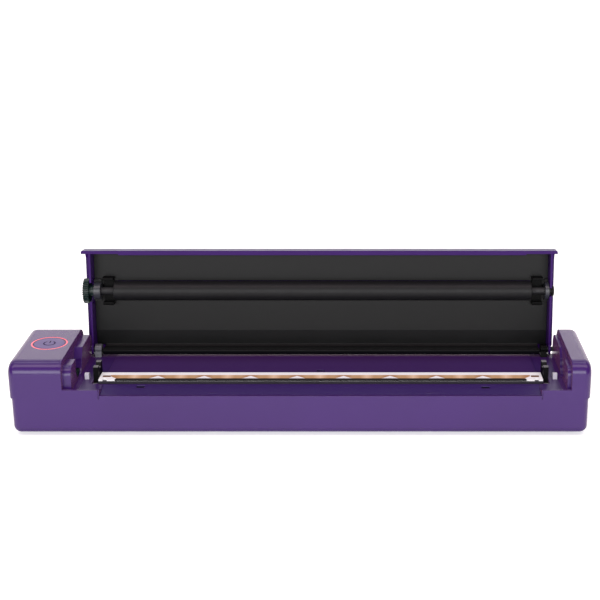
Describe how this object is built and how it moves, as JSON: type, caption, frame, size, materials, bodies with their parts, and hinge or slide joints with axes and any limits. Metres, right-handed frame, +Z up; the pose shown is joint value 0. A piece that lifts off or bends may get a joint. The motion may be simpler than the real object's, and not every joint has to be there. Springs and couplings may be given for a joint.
{
  "type": "tattoo stencil printer",
  "caption": "Slim portable thermal printer for tattoo stencils, lid open, with a rubber roller in the lid, a thermal head in the trough and a ringed power button.",
  "frame": {"origin": "bottom centre of the whole object's box at rest with the lid open, on the plane of the feet", "axes": "+X along the body towards the end away from the power button, +Y from the front face to the hinge side, +Z up"},
  "size_m": [0.295, 0.0722, 0.0814],
  "materials": {
    "body_purple": "satin metallic purple moulding",
    "cover_dark": "matt dark grey",
    "liner_black": "fine matt black",
    "roller_rubber": "smooth matt black",
    "feet_rubber": "matt",
    "bright_steel": "ground steel",
    "plate_steel": "blackened sheet with bare cut edges",
    "zinc_steel": "zinc plated",
    "screw_steel": "machined",
    "spring_steel": "polished strip",
    "sink_aluminium": "extruded",
    "head_ceramic": "glazed white with gold conductors",
    "driver_black": "gloss black resin",
    "gear_green": "dark green acetal",
    "gear_white": "natural acetal",
    "brass_pinion": "turned",
    "nylon_white": "natural nylon",
    "bearing_grey": "filled nylon",
    "motor_steel": "pressed steel can",
    "board_green": "solder mask",
    "cell_sleeve": "plain foil wrap",
    "ring_light": "glowing light guide",
    "button_lilac": "satin",
    "sensor_black": "gloss"
  },
  "bodies": {
    "base": {"upper_housing": "body_purple", "bottom_cover": "cover_dark", "rubber_feet": "feet_rubber", "housing_screws": "screw_steel", "left_frame_plate": "plate_steel", "right_frame_plate": "plate_steel", "frame_screws": "screw_steel", "left_bearing_rest": "nylon_white", "right_bearing_rest": "nylon_white", "paper_sensors": "sensor_black", "left_hinge_block": "liner_black", "right_hinge_block": "liner_black", "hinge_pins": "bright_steel", "gear_plate": "zinc_steel", "gear_plate_screws": "screw_steel", "gear_posts": "bright_steel", "gear_clip": "spring_steel", "stepper_motor": "motor_steel", "motor_screws": "screw_steel", "light_ring": "ring_light", "button_board": "board_green", "button_board_screws": "screw_steel", "button_switch": "driver_black", "battery_pack": "cell_sleeve", "main_board": "board_green", "board_screws": "screw_steel", "charging_socket": "zinc_steel", "head_springs": "spring_steel"},
    "idler": {"drive_gear": "gear_green"},
    "reduction": {"reduction_gear": "gear_white"},
    "rotor": {"motor_pinion": "brass_pinion", "motor_shaft": "bright_steel"},
    "head": {"head_heat_sink": "sink_aluminium", "head_ceramic": "head_ceramic", "head_driver_cover": "driver_black", "head_pins": "bright_steel"},
    "button": {"power_button": "button_lilac"},
    "lid": {"lid_shell": "body_purple", "lid_liner": "liner_black", "left_bracket": "liner_black", "right_bracket": "liner_black", "left_bearing": "bearing_grey", "right_bearing": "bearing_grey"},
    "platen": {"platen_shaft": "bright_steel", "platen_rubber": "roller_rubber", "platen_gear": "gear_green", "platen_end_cap": "driver_black"}
  },
  "joints": [
    {"name": "lid_hinge", "type": "hinge", "parent": "base", "child": "lid", "pos_m": [0, 0.01819, 0.0273], "axis": [1, 0, 0], "range_deg": [0, 97]},
    {"name": "platen_spin", "type": "hinge", "parent": "lid", "child": "platen", "pos_m": [0, 0.0257, 0.05811], "axis": [1, 0, 0], "continuous": true},
    {"name": "drive_gear_spin", "type": "hinge", "parent": "base", "child": "idler", "pos_m": [-0.12, -0.00836, 0.01739], "axis": [1, 0, 0], "continuous": true},
    {"name": "reduction_gear_spin", "type": "hinge", "parent": "base", "child": "reduction", "pos_m": [-0.1202, 0.00153, 0.02432], "axis": [1, 0, 0], "continuous": true},
    {"name": "motor_pinion_spin", "type": "hinge", "parent": "base", "child": "rotor", "pos_m": [-0.1248, 0.00749, 0.0157], "axis": [1, 0, 0], "continuous": true},
    {"name": "head_float", "type": "hinge", "parent": "base", "child": "head", "pos_m": [0.0102, -0.02131, 0.0206], "axis": [1, 0, 0], "range_deg": [-1.2, 0], "stiffness_Nm_per_rad": 0.4, "springref_deg": 3.44, "deforming": ["head_springs"]},
    {"name": "power_button_press", "type": "slide", "parent": "base", "child": "button", "axis": [0, 0, -1], "range_m": [0, 0.0008], "stiffness_N_per_m": 1500, "springref_m": -0.0003}
  ],
  "couplings": [
    {"joint": "reduction_gear_spin", "follows": "drive_gear_spin", "ratio": -2},
    {"joint": "motor_pinion_spin", "follows": "drive_gear_spin", "ratio": 4.5}
  ]
}
